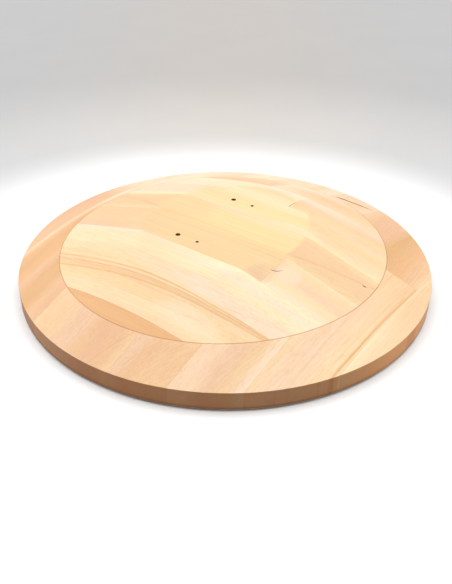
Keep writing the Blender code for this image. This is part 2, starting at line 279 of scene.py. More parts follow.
def lower_ring_points(angle):
    """One spoke of the lower layer's outline, from the glue plane over the rim into the recess."""
    inner = glue_edge(angle)
    out = heading(angle)
    outer = RIM_RADIUS * out
    way = (outer - inner).normalized()
    reach = (outer - inner).length
    slope = (GLUE_LINE - RIM_TOP) / reach
    points = [at_height(inner - way * GLUE_CHAMFER, GLUE_LINE - GLUE_HALF_GAP)]
    for step in range(CONE_STEPS + 1):
        distance = GLUE_CHAMFER + (reach - GLUE_CHAMFER - RIM_EDGE) * step / CONE_STEPS
        points.append(at_height(inner + way * distance, GLUE_LINE - slope * distance))
    rim_height = RIM_TOP + slope * RIM_EDGE
    for turn in (25, 50, 75):
        radians = math.radians(turn)
        radius = RIM_RADIUS - RIM_EDGE * (1 - math.sin(radians))
        points.append(at_height(radius * out, rim_height - RIM_EDGE * (1 - math.cos(radians))))
    for height in (RIM_TOP - RIM_EDGE, *WALL_RINGS):
        points.append(at_height(RIM_RADIUS * out, height))
    for turn in (0, 30, 60, 90):
        radians = math.radians(turn)
        radius = RIM_RADIUS - FOOT_EDGE * (1 - math.cos(radians))
        points.append(at_height(radius * out, RIM_BOTTOM + FOOT_EDGE * (1 - math.sin(radians))))
    for radius, height in ((BOTTOM_RING, RIM_BOTTOM), (RECESS_RADIUS + RECESS_EDGE, RIM_BOTTOM),
                           (RECESS_RADIUS, RIM_BOTTOM + RECESS_EDGE), (RECESS_RADIUS, RECESS_TOP)):
        points.append(at_height(radius * out, height))
    return points


def layer(spoke):
    """A closed solid skinned over the spokes, with flat caps."""
    bm = bmesh.new()
    columns = [[bm.verts.new(point) for point in spoke(math.tau * step / SPOKES)] for step in range(SPOKES)]
    for step, column in enumerate(columns):
        following = columns[(step + 1) % SPOKES]
        for low in range(len(column) - 1):
            bm.faces.new((column[low], column[low + 1], following[low + 1], following[low]))
    bm.faces.new([column[0] for column in columns])
    bm.faces.new([column[-1] for column in columns])
    bmesh.ops.recalc_face_normals(bm, faces=bm.faces[:])
    return bm


def keep_between(bm, direction, low, high):
    """Cut a solid back to the slab between two places along a direction."""
    for place, side in ((low, -1.0), (high, 1.0)):
        if place is None:
            continue
        bmesh.ops.bisect_plane(
            bm, geom=bm.verts[:] + bm.edges[:] + bm.faces[:], dist=1e-7,
            plane_co=direction * place * MM, plane_no=direction * side, clear_outer=True)
        bmesh.ops.holes_fill(bm, edges=[edge for edge in bm.edges if edge.is_boundary], sides=0)


def linked_mesh(name, bm):
    """An object in the scene, made from a closed solid."""
    mesh = bpy.data.meshes.new(name)
    bmesh.ops.recalc_face_normals(bm, faces=bm.faces[:])
    bm.to_mesh(mesh)
    bm.free()
    piece = bpy.data.objects.new(name, mesh)
    bpy.context.scene.collection.objects.link(piece)
    return piece


def smooth_shade(mesh):
    """Smooth shading, with sharp edges where the faces turn by more than a little."""
    mesh.shade_smooth()
    mesh.set_sharp_from_angle(angle=SHARP_ANGLE)


def mesh_piece(name, bm):
    piece = linked_mesh(name, bm)
    smooth_shade(piece.data)
    return piece


def saw_staves(whole, label, across, along, seams, butts, figures):
    """The staves of one layer, in the CAD's order."""
    staves = []
    half_board = RIM_RADIUS / MM
    edges = (None, *seams, None)
    for stave in range(len(edges) - 1):
        joint = butts.get(stave)
        for start, end in ([(None, None)] if joint is None else [(None, joint), (joint, None)]):
            bm = whole.copy()
            keep_between(bm, across, edges[stave], edges[stave + 1])
            keep_between(bm, along, start, end)
            node = f"{label}_stave_{len(staves) + 1:02d}"
            piece = mesh_piece(node + "_wood", bm)
            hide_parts(node)
            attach(piece, "platter")
            low = edges[stave] if edges[stave] is not None else -half_board
            high = edges[stave + 1] if edges[stave + 1] is not None else half_board
            look = figures[len(staves)]
            seed = len(staves) + 1.3
            wood = stave_wood(node, look, along, across, (low, high), (start, end), seed)
            piece.data.materials.append(wood)
            staves.append(piece)
    return staves


def model_place(along_oval, across_oval):
    """A place on the platter, from millimetres along and across the flat oval."""
    return (along_oval * WITH_LAYUP + across_oval * ACROSS_LAYUP) * MM


def surface_height(place):
    """The height of the turned surface above a place."""
    angle = math.atan2(place.y, place.x)
    radius = place.length
    inner, outer = top_edge(angle).length, glue_edge(angle).length
    if radius > outer:
        return GLUE_LINE + (RIM_TOP - GLUE_LINE) * (radius - outer) / (RIM_RADIUS - outer)
    drop = softened_drop(radius - inner) / softened_drop(outer - inner)
    return PLATTER_TOP - (PLATTER_TOP - GLUE_LINE) * drop


def gash(spots, widths, depth):
    """A wedge that follows the surface: a crack, when it is cut out of a stave."""
    bm = bmesh.new()
    over = 1.0 * MM
    mouth_share, root_share = 1.2, 0.4
    corners = []
    for number, place in enumerate(spots):
        way = (spots[min(number + 1, len(spots) - 1)] - spots[max(number - 1, 0)]).normalized()
        side = way.cross(Z_AXIS) * widths[number] * MM / 2
        mouth, root = side * mouth_share, side * root_share
        height = surface_height(place)
        corners.append([bm.verts.new(at_height(place + mouth, height + over)),
                        bm.verts.new(at_height(place - mouth, height + over)),
                        bm.verts.new(at_height(place - root, height - depth * MM)),
                        bm.verts.new(at_height(place + root, height - depth * MM))])
    join_rings(bm, corners)
    bm.faces.new(corners[0])
    bm.faces.new(corners[-1])
    return bm


def lathe(bm, profile, segments, centre, closed=False):
    """Turn (radius, height) points into a solid about an upright line. Closed outlines make rings."""
    rings = []
    for radius, height in profile:
        turns = segments if radius > 0.0 else 1
        rings.append([bm.verts.new(at_height(centre + radius * heading(math.tau * step / segments), height))
                      for step in range(turns)])
    join_rings(bm, rings, closed)


def join_rings(bm, rings, closed=False):
    """Skin neighbouring rings of vertices. A ring of one vertex is a pole."""
    pairs = list(zip(rings, rings[1:]))
    if closed:
        pairs.append((rings[-1], rings[0]))
    for lower, upper in pairs:
        count = max(len(lower), len(upper))
        for step in range(count):
            following = (step + 1) % count
            corners = [lower[step % len(lower)], lower[following % len(lower)],
                       upper[following % len(upper)], upper[step % len(upper)]]
            bm.faces.new(list(dict.fromkeys(corners)))


def rounded(corners, steps=4):
    """The outline through (radius, height, reach) corners. Each corner is rounded over its reach."""
    outline = []
    for number, (radius, height, reach) in enumerate(corners):
        if reach == 0.0:
            outline.append((radius, height))
            continue
        corner = Vector((radius, height))
        before = (Vector(corners[number - 1][:2]) - corner).normalized() * reach
        after = (Vector(corners[(number + 1) % len(corners)][:2]) - corner).normalized() * reach
        for step in range(steps + 1):
            share = step / steps
            outline.append(tuple(corner + before * (1 - share) ** 2 + after * share ** 2))
    return outline


def drill_bit(places, radius, deep, mouth, flare=0.0):
    """Round cutters from the deep end of a hole out past its mouth, which may flare a little."""
    bm = bmesh.new()
    way = math.copysign(1.0, mouth - deep)
    clear = 2 * MM
    past = mouth + way * clear
    profile = [(0.0, deep), (radius, deep), (radius, mouth - way * flare), (radius + flare, mouth),
               (radius + flare, past), (0.0, past)]
    if flare == 0.0:
        del profile[2:4]
    for place in places:
        lathe(bm, profile, HOLE_SEGMENTS, place)
    return bm


def edge_cutter(place, radius, face, way, width):
    """A cone that breaks the edge of a through hole, in the face that looks along way."""
    bm = bmesh.new()
    past = 1 * MM
    reach = radius + width
    cone = ((0.0, face - way * reach), (reach + past, face + way * past), (0.0, face + way * past))
    lathe(bm, cone, RING_SEGMENTS, place)
    return bm


def carve(piece, bm):
    """Take a solid out of a piece, and leave no modifier behind."""
    cutter = linked_mesh("cutter", bm)
    modifier = piece.modifiers.new("carve", "BOOLEAN")
    modifier.operation = "DIFFERENCE"
    modifier.solver = "EXACT"
    modifier.object = cutter
    result = bpy.data.meshes.new_from_object(piece.evaluated_get(bpy.context.evaluated_depsgraph_get()))
    piece.modifiers.clear()
    piece.data = result
    bpy.data.objects.remove(cutter, do_unlink=True)
    smooth_shade(result)


def stave(staves, number):
    return staves[number - 1]


def drill_platter(lower, upper):
    """The peg and pilot holes in the flat top, and the screw holes and eyelet pocket below."""
    for piece, along in zip((stave(upper, 5), stave(upper, 7)), HOLE_PAIRS):
        for across, radius, depth, worn in HOLE_KINDS:
            place = model_place(along, across)
            carve(piece, drill_bit([place], radius, PLATTER_TOP - depth, PLATTER_TOP, worn))
    for number in (5, 8):
        screws = [place for place in screw_places("platter_plate_screw") if (place.y > 0) == (number == 8)]
        deep = RECESS_TOP + PLATTER_SCREW_LENGTH
        carve(stave(lower, number), drill_bit(screws, SCREW_HOLE, deep, RECESS_TOP, SCREW_HOLE_FLARE))
    pocket = RECESS_TOP + EYELET_POCKET_DEPTH
    carve(stave(lower, 7), drill_bit([AXIS], EYELET_POCKET, pocket, RECESS_TOP, POCKET_FLARE))


def wear_platter(lower, upper):
    """Cut the marks of wear into the staves."""
    staves = {"lower": lower, "upper": upper}
    for label, numbers, line, widths, depth in MARKS:
        spots = [model_place(along, across) for along, across in line]
        for number in numbers:
            carve(stave(staves[label], number), gash(spots, widths, depth))


# Hardware, each piece in the place and at the size of its CAD node

def middle(node):
    """The upright line through the middle of a node, as a place on the floor."""
    low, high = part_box(node)
    return Vector(((low.x + high.x) / 2, (low.y + high.y) / 2, 0.0))


def screw_places(name):
    return [middle(f"{name}_{number}") for number in (1, 2, 3, 4)]


def stand_for(piece, node, material):
    """A finished piece takes the place of its CAD node and moves with the same body."""
    piece.data.materials.append(material)
    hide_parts(node)
    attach(piece, frame["nodes"][node]["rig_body"])


def turned_piece(node, profile, segments, centre=AXIS, closed=False):
    bm = bmesh.new()
    lathe(bm, profile, segments, centre, closed)
    return mesh_piece(node + "_detail", bm)


def build_base_board():
    """A plywood disc with rounded edges, drilled for the screws, the eyelet and the screwdriver."""
    round_off, edge_break, clear = 1.5 * MM, 0.5 * MM, 2 * MM
    profile = rounded(((0.0, BOARD_BOTTOM, 0.0), (BASE_RADIUS, BOARD_BOTTOM, round_off),
                       (BASE_RADIUS, BOARD_TOP, round_off), (0.0, BOARD_TOP, 0.0)))
    board = turned_piece("base_board", profile, 180)
    for name, deep, mouth in (("foot_screw", BOARD_TOP - BLIND_END, BOARD_BOTTOM),
                              ("base_plate_screw", BOARD_BOTTOM + BLIND_END, BOARD_TOP)):
        carve(board, drill_bit(screw_places(name), SCREW_HOLE, deep, mouth))
    carve(board, drill_bit([AXIS], EYELET_POCKET, BOARD_TOP - EYELET_POCKET_DEPTH, BOARD_TOP, POCKET_FLARE))
    access = middle("platter_plate_screw_1")
    carve(board, drill_bit([access], ACCESS_HOLE, BOARD_BOTTOM - clear, BOARD_TOP))
    for face, way in ((BOARD_BOTTOM, -1), (BOARD_TOP, 1)):
        carve(board, edge_cutter(access, ACCESS_HOLE, face, way, edge_break))
    stand_for(board, "base_board", plywood())


def build_feet():
    """Moulded rubber feet with a rounded tread, one grip groove and a recess for the screw's head."""
    rubber = foot_rubber()
    top = BOARD_BOTTOM - PLATE_GAP
    profile = rounded((
        (FOOT_RECESS, 0.0, 0.3 * MM),
        (GROOVE_INNER, 0.0, 0.2 * MM),
        (GROOVE_INNER + GROOVE_SLANT, GROOVE_DEPTH, 0.15 * MM),
        (GROOVE_OUTER - GROOVE_SLANT, GROOVE_DEPTH, 0.15 * MM),
        (GROOVE_OUTER, 0.0, 0.2 * MM),
        (FOOT_RADIUS - FOOT_DRAFT, 0.0, 0.9 * MM),
        (FOOT_RADIUS, top, 0.3 * MM),
        (SCREW_HOLE, top, 0.0),
        (SCREW_HOLE, FOOT_RECESS_TOP, 0.0),
        (FOOT_RECESS, FOOT_RECESS_TOP, 0.2 * MM)))
    for number in (1, 2, 3, 4):
        node = f"rubber_foot_{number}"
        foot = turned_piece(node, profile, RING_SEGMENTS, middle(node), closed=True)
        stand_for(foot, node, rubber)


def screw_radius(depth, turn, length):
    """The radius of a cut wood-screw thread, at a depth below the head and a share of a full turn."""
    phase = (depth / THREAD_PITCH - turn) % 1.0
    crest = max(0.0, 1.0 - abs(phase - 0.5) * 4.0)
    taper = min(1.0, (length - depth) / SCREW_TIP)
    return (SCREW_CORE + (SCREW_RADIUS - SCREW_CORE) * crest) * taper


def screw_solid(place, seat, length, way, turn):
    """A domed pan-head screw. way is +1 where it points up, -1 where it points down."""
    bm = bmesh.new()

    def ring(radius_at, height):
        outs = [heading(turn + math.tau * side / SCREW_SEGMENTS) for side in range(SCREW_SEGMENTS)]
        return [bm.verts.new(at_height(place + radius_at(side / SCREW_SEGMENTS) * out, height))
                for side, out in enumerate(outs)]

    rings = [[bm.verts.new(at_height(place, seat - way * SCREW_HEAD))]]
    for step in range(1, DOME_STEPS + 1):
        angle = math.pi / 2 * step / DOME_STEPS
        dome = SCREW_HEAD * max(math.cos(angle), 0.0) ** DOME_FLATNESS
        rings.append(ring(lambda share: SCREW_HEAD_RADIUS * math.sin(angle), seat - way * dome))
    rows = round(length / THREAD_PITCH * ROWS_PER_PITCH)
    rings.append(ring(lambda share: SCREW_CORE, seat))
    for row in range(1, rows):
        depth = length * row / rows
        rings.append(ring(lambda share: screw_radius(depth, share, length), seat + way * depth))
    rings.append([bm.verts.new(at_height(place, seat + way * length))])
    join_rings(bm, rings)
    return bm


def recess_arm(place, head, way, turn):
    """One arm of a cross recess: a bar that narrows as it goes into the head."""
    bm = bmesh.new()
    along, across = heading(turn), heading(turn + math.pi / 2)
    rings = []
    for depth, half_length, half_width in CROSS_RECESS:
        height = head + way * depth * MM
        rings.append([])
        for first, second in ((-1, -1), (1, -1), (1, 1), (-1, 1)):
            out = (along * half_length * first + across * half_width * second) * MM
            rings[-1].append(bm.verts.new(at_height(place + out, height)))
    join_rings(bm, rings)
    bm.faces.new(rings[0])
    bm.faces.new(rings[-1])
    return bm


def build_screws():
    """Three sets of four screws, each turned as it happened to end up when driven."""
    zinc = zinc_steel()
    sets = (
        ("foot_screw", FOOT_RECESS_TOP - PLATE_GAP, FOOT_SCREW_LENGTH, 1),
        ("base_plate_screw", BEARING_BOTTOM + SHEET + PLATE_GAP, BASE_SCREW_LENGTH, -1),
        ("platter_plate_screw", BEARING_TOP - SHEET - PLATE_GAP, PLATTER_SCREW_LENGTH, 1),
    )
    for name, seat, length, way in sets:
        for number, place in enumerate(screw_places(name), start=1):
            node = f"{name}_{number}"
            turn = math.radians(37.0 * number + 11.0 * length / MM)
            screw = mesh_piece(node + "_detail", screw_solid(place, seat, length, way, turn))
            head = seat - way * SCREW_HEAD
            for quarter in (0, 1):
                carve(screw, recess_arm(place, head, way, turn + quarter * math.pi / 2))
            stand_for(screw, node, zinc)


def pressed_sheet(path, thickness):
    """The closed outline of a pressed sheet that follows a (radius, height) path."""
    points = [Vector(point) for point in path]
    sides = []
    for place, point in enumerate(points):
        before = (point - points[max(place - 1, 0)]).normalized()
        after = (points[min(place + 1, len(points) - 1)] - point).normalized()
        along = (before + after).normalized()
        square = Vector((-along.y, along.x))
        sides.append((point + square * thickness / 2, point - square * thickness / 2))
    return [tuple(side[0]) for side in sides] + [tuple(side[1]) for side in reversed(sides)]


def build_race_plate(node, way, screws):
    """A pressed plate with the ball groove near its edge. way is -1 below the balls, +1 above."""
    flat = BALL_HEIGHT + way * (BALL_RADIUS + PLATE_GAP + SHEET / 2)
    ridge = flat - way * RACE_DEPTH
    bend = 0.5 * MM
    corners = [(RACE_RADIUS + offset * MM, ridge if raised else flat, bend)
               for offset, raised in RACE_BENDS]
    path = rounded(((EYELET_TUBE + PLATE_GAP, flat, 0.0), *corners, (RACE_RADIUS + RACE_LIP, ridge, 0.0)))
    plate = turned_piece(node, pressed_sheet(path, SHEET), 192, closed=True)
    deep, mouth = flat - way * SHEET, flat + way * SHEET
    carve(plate, drill_bit(screws, SCREW_HOLE, deep, mouth))
    if way < 0:
        carve(plate, drill_bit([middle("platter_plate_screw_1")], ACCESS_HOLE, deep, mouth))
    stand_for(plate, node, pressed_steel(flat, way))


def build_eyelet():
    """The brass tube through both plates, with a rolled flange at each end."""
    bottom, top = BEARING_BOTTOM - PLATE_GAP, BEARING_TOP + PLATE_GAP
    roll = 0.45 * MM
    profile = rounded((
        (EYELET_BORE, bottom - EYELET_FLANGE, roll), (EYELET_FLANGE_RADIUS, bottom - EYELET_FLANGE, roll),
        (EYELET_FLANGE_RADIUS, bottom, roll), (EYELET_TUBE, bottom, 0.0), (EYELET_TUBE, top, 0.0),
        (EYELET_FLANGE_RADIUS, top, roll), (EYELET_FLANGE_RADIUS, top + EYELET_FLANGE, roll),
        (EYELET_BORE, top + EYELET_FLANGE, roll)))
    eyelet = turned_piece("centre_eyelet", profile, RING_SEGMENTS, closed=True)
    stand_for(eyelet, "centre_eyelet", eyelet_brass())


def build_cage():
    """The nylon ring with a pocket for each ball, and the balls."""
    low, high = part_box("ball_cage")
    inner, outer = RACE_RADIUS - CAGE_HALF_WIDTH, RACE_RADIUS + CAGE_HALF_WIDTH
    round_off = 0.35 * MM
    profile = rounded(((inner, low.z, round_off), (outer, low.z, round_off),
                       (outer, high.z, round_off), (inner, high.z, round_off)))
    ring = turned_piece("ball_cage", profile, 144, closed=True)
    balls = [f"ball_{number:02d}" for number in range(1, 13)]
    pockets = drill_bit([middle(ball) for ball in balls], BALL_RADIUS + PLATE_GAP, low.z - MM, high.z + MM)
    carve(ring, pockets)
    stand_for(ring, "ball_cage", cage_nylon())
    steel = ball_steel()
    profile = [(0.0, BALL_HEIGHT - BALL_RADIUS)]
    for step in range(1, 24):
        angle = math.pi * step / 24
        profile.append((BALL_RADIUS * math.sin(angle), BALL_HEIGHT - BALL_RADIUS * math.cos(angle)))
    profile.append((0.0, BALL_HEIGHT + BALL_RADIUS))
    for ball in balls:
        stand_for(turned_piece(ball, profile, HOLE_SEGMENTS, middle(ball)), ball, steel)


def build_hardware():
    build_base_board()
    build_feet()
    build_screws()
    build_race_plate("bearing_lower_plate", -1, screw_places("base_plate_screw"))
    build_race_plate("bearing_upper_plate", 1, screw_places("platter_plate_screw"))
    build_eyelet()
    build_cage()


# Materials

class Nodes:
    """Short ways to add nodes to one tree."""

    def __init__(self, tree):
        self.tree = tree

    def put(self, value, socket):
        """Set a socket, or link it to another node's output."""
        if isinstance(value, bpy.types.NodeSocket):
            self.tree.links.new(value, socket)
        else:
            socket.default_value = value

    def node(self, kind, **settings):
        node = self.tree.nodes.new("ShaderNode" + kind)
        for name, value in settings.items():
            setattr(node, name, value)
        return node

    def object_place(self):
        return self.node("TexCoord").outputs["Object"]

    def normal(self):
        return self.node("TexCoord").outputs["Normal"]

    def math(self, operation, first, second=0.0, third=0.0):
        node = self.node("Math", operation=operation)
        for value, socket in zip((first, second, third), node.inputs):
            self.put(value, socket)
        return node.outputs[0]

    def plus(self, first, second):
        return self.math("ADD", first, second)

    def minus(self, first, second):
        return self.math("SUBTRACT", first, second)

    def times(self, first, *factors):
        for factor in factors:
            first = self.math("MULTIPLY", first, factor)
        return first

    def divide(self, first, second):
        return self.math("DIVIDE", first, second)

    def scaled(self, value, factor, offset):
        """A value times a factor, moved by an offset."""
        return self.math("MULTIPLY_ADD", value, factor, offset)

    def apart(self, first, second):
        """How far apart two numbers are."""
        return self.math("ABSOLUTE", self.minus(first, second))

    def squares(self, first, second):
        """The sum of two squares."""
        return self.plus(self.times(first, first), self.times(second, second))

    def vector_math(self, operation, first, second):
        node = self.node("VectorMath", operation=operation)
        self.put(first, node.inputs[0])
        self.put(second, node.inputs[1])
        return node.outputs["Value" if operation == "DOT_PRODUCT" else "Vector"]

    def dot(self, vector, direction):
        """How far a vector goes along a fixed direction."""
        return self.vector_math("DOT_PRODUCT", vector, tuple(direction))

    def combine(self, x, y, z):
        node = self.node("CombineXYZ")
        for value, socket in zip((x, y, z), node.inputs):
            self.put(value, socket)
        return node.outputs[0]

    def split(self, vector):
        node = self.node("SeparateXYZ")
        self.put(vector, node.inputs[0])
        return node.outputs

    def noise(self, vector, scale=1.0, detail=2.0, roughness=0.5, colour=False):
        node = self.node("TexNoise")
        self.put(vector, node.inputs["Vector"])
        node.inputs["Scale"].default_value = scale
        node.inputs["Detail"].default_value = detail
        node.inputs["Roughness"].default_value = roughness
        return node.outputs["Color" if colour else "Fac"]

    def smooth(self, value, start, end, low=0.0, high=1.0):
        """A smooth step from low to high while value runs from start to end."""
        node = self.node("MapRange", interpolation_type="SMOOTHSTEP")
        for name, number in (("Value", value), ("From Min", start), ("From Max", end),
                             ("To Min", low), ("To Max", high)):
            self.put(number, node.inputs[name])
        return node.outputs[0]

    def mix(self, factor, first, second, blend="MIX"):
        node = self.node("Mix", data_type="RGBA", blend_type=blend)
        self.put(factor, node.inputs["Factor"])
        for value, socket in ((first, node.inputs[6]), (second, node.inputs[7])):
            self.put((*value, 1.0) if isinstance(value, tuple) and len(value) == 3 else value, socket)
        return node.outputs[2]

    def darken(self, colour, factor, warmth=0.0):
        """Multiply a colour by a number, with less off its red and more off its blue."""
        red = self.math("POWER", factor, 1.0 - warmth)
        blue = self.math("POWER", factor, 1.0 + warmth)
        return self.vector_math("MULTIPLY", colour, self.combine(red, factor, blue))

    def ramp(self, factor, tones):
        """Colours at places from 0 to 1, given as (place, colour) pairs."""
        node = self.node("ValToRGB")
        node.color_ramp.interpolation = "EASE"
        elements = node.color_ramp.elements
        while len(elements) < len(tones):
            elements.new(1.0)
        for number, (place, tone) in enumerate(tones):
            elements[number].position = place
            elements[number].color = (*tone, 1.0)
        self.put(factor, node.inputs[0])
        return node.outputs[0]


class Surface(Nodes):
    """The nodes of one new material."""

    def __init__(self, name):
        self.material = bpy.data.materials.new(name)
        self.material.use_nodes = True
        super().__init__(self.material.node_tree)
        self.shader = self.tree.nodes["Principled BSDF"]

    def bump(self, height, distance, strength=1.0):
        node = self.node("Bump")
        node.inputs["Distance"].default_value = distance
        node.inputs["Strength"].default_value = strength
        self.put(height, node.inputs["Height"])
        self.put(node.outputs[0], self.shader.inputs["Normal"])

    def finish(self, colour, roughness, metallic=0.0, specular=0.5):
        self.put(colour, self.shader.inputs["Base Color"])
        self.shader.inputs["Specular IOR Level"].default_value = specular
        self.put(roughness, self.shader.inputs["Roughness"])
        self.shader.inputs["Metallic"].default_value = metallic
        return self.material


# Wood. Places are millimetres along and across the grain.

TONES = {
    "ivory": (0.570, 0.465, 0.285),
    "cream": (0.550, 0.430, 0.268),
    "pale": (0.550, 0.430, 0.306),
    "milk": (0.545, 0.430, 0.345),
    "shell": (0.530, 0.395, 0.276),
    "straw": (0.530, 0.398, 0.240),
    "honey": (0.520, 0.388, 0.200),
    "wheat": (0.520, 0.365, 0.216),
    "blush": (0.510, 0.348, 0.224),
    "sand": (0.500, 0.350, 0.188),
    "peach": (0.490, 0.324, 0.180),
    "petal": (0.475, 0.305, 0.190),
    "apricot": (0.475, 0.298, 0.158),
    "pink": (0.465, 0.278, 0.150),
    "rose": (0.450, 0.262, 0.148),
    "orange": (0.455, 0.252, 0.112),
    "tan": (0.420, 0.238, 0.104),
    "russet": (0.410, 0.222, 0.085),
    "amber": (0.460, 0.270, 0.098),
    "brown": (0.390, 0.185, 0.068),
}
# Growth rings: where their pith lies from the stave's low side and the floor, and how far apart they are
PITH_SIDE = 45.0
PITH_DEPTH = -30.0
RING_SPACING = 2.4
# How far the grain wanders, over how far the tones change to the far set, and how upright a face must be to
# take the flat top's painted light
WANDER = 4.0
FAR_BLEND = 50.0
PAINTED_LIGHT_TOP_NORMAL = (0.97, 0.998)
# The painted shade on every steep face, as the rim wall turns away from the light, and what cutting across
# the fibres adds
STEEP_FACE_SHADE_TINT = (0.82, 0.52, 0.27)
END_GRAIN_TINT = (0.61, 0.64, 0.72)


def figure(tones, far="", far_from=0.0, top="", streaks=(), patches=(), contrast=0.3, slant=0.0):
    """How the wood of one stave looks, in millimetres along and across it. tones run from its low side
    to its high side, far is the same for the part past far_from, and top for its share of the flat top.
    The far set is partly the wood's own change of tone along the grain, and partly painted light where
    it turns a lower stave's far end, on the right, pale. The top set is painted light and sheen: the
    level top is painted yellower than the cone. A streak has its place, width, slope, tone and strength,
    and a patch its middle, half sizes, tone and strength. slant turns the tones across the stave, and
    contrast is that of rings and fibres."""
    return dict(tones=tones.split(), far=far.split(), far_from=far_from, top=top.split(), streaks=streaks,
                patches=patches, contrast=contrast, slant=slant)


UPPER_FIGURES = (
    figure("orange orange", contrast=0.35),
    figure("wheat straw sand wheat cream", far="wheat wheat sand peach wheat", contrast=0.35, slant=-0.03,
           streaks=((-127.4, 3.0, -0.072, "amber", 0.95), (-124.0, 6.5, -0.058, "apricot", 0.85),
                    (-121.6, 2.0, -0.046, "brown", 0.5), (-117.6, 3.0, -0.030, "amber", 0.95)),
           patches=((-60.0, -142.0, 45.0, 14.0, "pale", 0.5),)),
    figure("shell shell cream pale ivory", far="sand wheat straw straw shell", contrast=0.4, slant=-0.01),
    figure("pale straw blush wheat straw", contrast=0.2,
           patches=((-104.0, -36.0, 15.0, 18.0, "pale", 0.6), (-91.5, -54.0, 4.0, 14.0, "petal", 0.4))),
    figure("sand sand", far="petal peach peach", far_from=80.0, contrast=0.25,
           patches=((-79.0, -56.0, 13.0, 17.0, "petal", 0.75),)),
    figure("sand peach peach peach sand", far="wheat peach peach peach wheat", far_from=-50.0,
           top="honey honey honey straw",
           patches=((-163.0, 14.2, 3.0, 1.3, "brown", 0.9), (62.0, 7.3, 45.0, 40.0, "sand", 0.8))),
    figure("straw wheat sand wheat", far="cream straw straw cream", far_from=-20.0, top="straw honey cream",
           patches=((-65.0, 36.0, 40.0, 12.0, "cream", 0.8), (70.0, 60.0, 30.0, 16.0, "wheat", 0.6))),
    figure("ivory shell shell shell shell", contrast=0.25),
    figure("blush sand peach blush blush", far="wheat sand blush shell shell", far_from=-95.0),
    figure("ivory cream cream pale pale", far="pale pale pale ivory pale", far_from=60.0,
           top="cream wheat wheat", contrast=0.25),
    figure("wheat peach shell shell pale", far="pale pale"),
    figure("peach blush ivory pale"),
)

LOWER_FIGURES = (
    figure("wheat wheat wheat straw cream", far="peach peach peach peach wheat"),
    figure("wheat wheat blush blush wheat", far="apricot peach peach sand blush",
           contrast=0.38, slant=0.004,
           streaks=((-173.0, 2.5, 0.0, "tan", 0.25), (-165.0, 1.2, 0.004, "tan", 0.3),
                    (-199.0, 3.2, -0.02, "amber", 0.9), (-199.6, 1.6, -0.02, "brown", 0.5),
                    (-193.0, 1.4, -0.02, "amber", 0.4))),
    figure("peach pink orange tan russet", contrast=0.38),
    figure("shell peach petal blush blush", far="tan rose rose pink petal", far_from=20.0, contrast=0.38),
    figure("apricot pink petal petal shell", far="apricot blush blush peach blush", far_from=60.0,
           contrast=0.4, slant=-0.12),
    figure("blush blush", contrast=0.35),
    figure("peach pink rose pink petal", far="shell shell wheat shell shell", far_from=60.0, contrast=0.33),
    figure("petal petal peach peach peach", far="shell shell pale pale ivory", far_from=60.0,
           contrast=0.33),
    figure("rose pink tan tan rose", far="pale shell shell shell pale", far_from=60.0, contrast=0.33),
    figure("pink orange tan orange blush", far="orange russet rose shell pale", contrast=0.33),
    figure("pale pale pale shell shell"),
    figure("pink pink rose rose", far="pale milk milk", far_from=60.0),
)


def growth_rings(wood, side, depth, low, seed):
    """A thin dark line at the end of each year, about a pith outside the stave."""
    from_pith = wood.squares(wood.minus(side, low - PITH_SIDE), wood.minus(depth, PITH_DEPTH))
    distance = wood.math("SQRT", from_pith)
    uneven = wood.noise(wood.combine(wood.times(distance, 0.12), seed * 1.7, 0.0), 1.0, 2.0)
    years = wood.plus(wood.divide(distance, RING_SPACING), wood.times(uneven, 5.0))
    season = wood.math("FRACT", years)
    ring = wood.times(wood.math("POWER", season, 3.0), wood.smooth(season, 1.0, 0.9))
    strength = wood.node("TexWhiteNoise", noise_dimensions="1D")
    wood.put(wood.math("FLOOR", wood.plus(years, seed * 11.0)), strength.inputs["W"])
    return wood.times(ring, wood.scaled(strength.outputs["Value"], 0.8, 0.2))


def tone_ramp(wood, share, tones):
    """Named tones, evenly spaced as a share goes from 0 to 1."""
    last = len(tones) - 1
    return wood.ramp(share, [(number / last, TONES[tone]) for number, tone in enumerate(tones)])


def stave_tones(wood, look, share, along):
    """The stave's tones, with other sets at its far end, partly painted light, and on the flat top, painted
    light and sheen, where it has them.
    """
    colour = tone_ramp(wood, share, look["tones"])
    # The far set: partly the wood's own tone, partly painted light where it turns a lower stave's far end
    # pale
    if look["far"]:
        there = wood.smooth(along, look["far_from"] - FAR_BLEND, look["far_from"] + FAR_BLEND)
        colour = wood.mix(there, colour, tone_ramp(wood, share, look["far"]))
    # The flat top's set is painted light and sheen: the level top gets other tones than the cone
    if look["top"]:
        upright = wood.split(wood.normal())[2]
        flat = wood.smooth(upright, *PAINTED_LIGHT_TOP_NORMAL)
        colour = wood.mix(flat, colour, tone_ramp(wood, share, look["top"]))
    return colour


def add_patches(wood, colour, patches, along, side, fibres):
    """Oval patches with ragged, soft edges."""
    for centre_along, centre_side, length, width, tone, amount in patches:
        reach = wood.squares(wood.divide(wood.minus(along, centre_along), length),
                             wood.divide(wood.minus(side, centre_side), width))
        ragged = wood.scaled(fibres, 0.8, reach)
        colour = wood.mix(wood.smooth(ragged, 1.4, 0.5, 0.0, amount), colour, TONES[tone])
    return colour


def add_streaks(wood, colour, streaks, along, across, wander, fibres):
    """Darker streaks that run nearly with the grain."""
    for centre, width, slope, tone, amount in streaks:
        line = wood.scaled(along, -slope, across)
        line = wood.scaled(wander, WANDER, line)
        body = wood.smooth(wood.apart(line, centre), width * 0.6, width * 0.1, 0.0, amount)
        body = wood.times(body, wood.smooth(fibres, 0.25, 0.6, 0.55, 1.0))
        colour = wood.mix(body, colour, TONES[tone])
    return colour


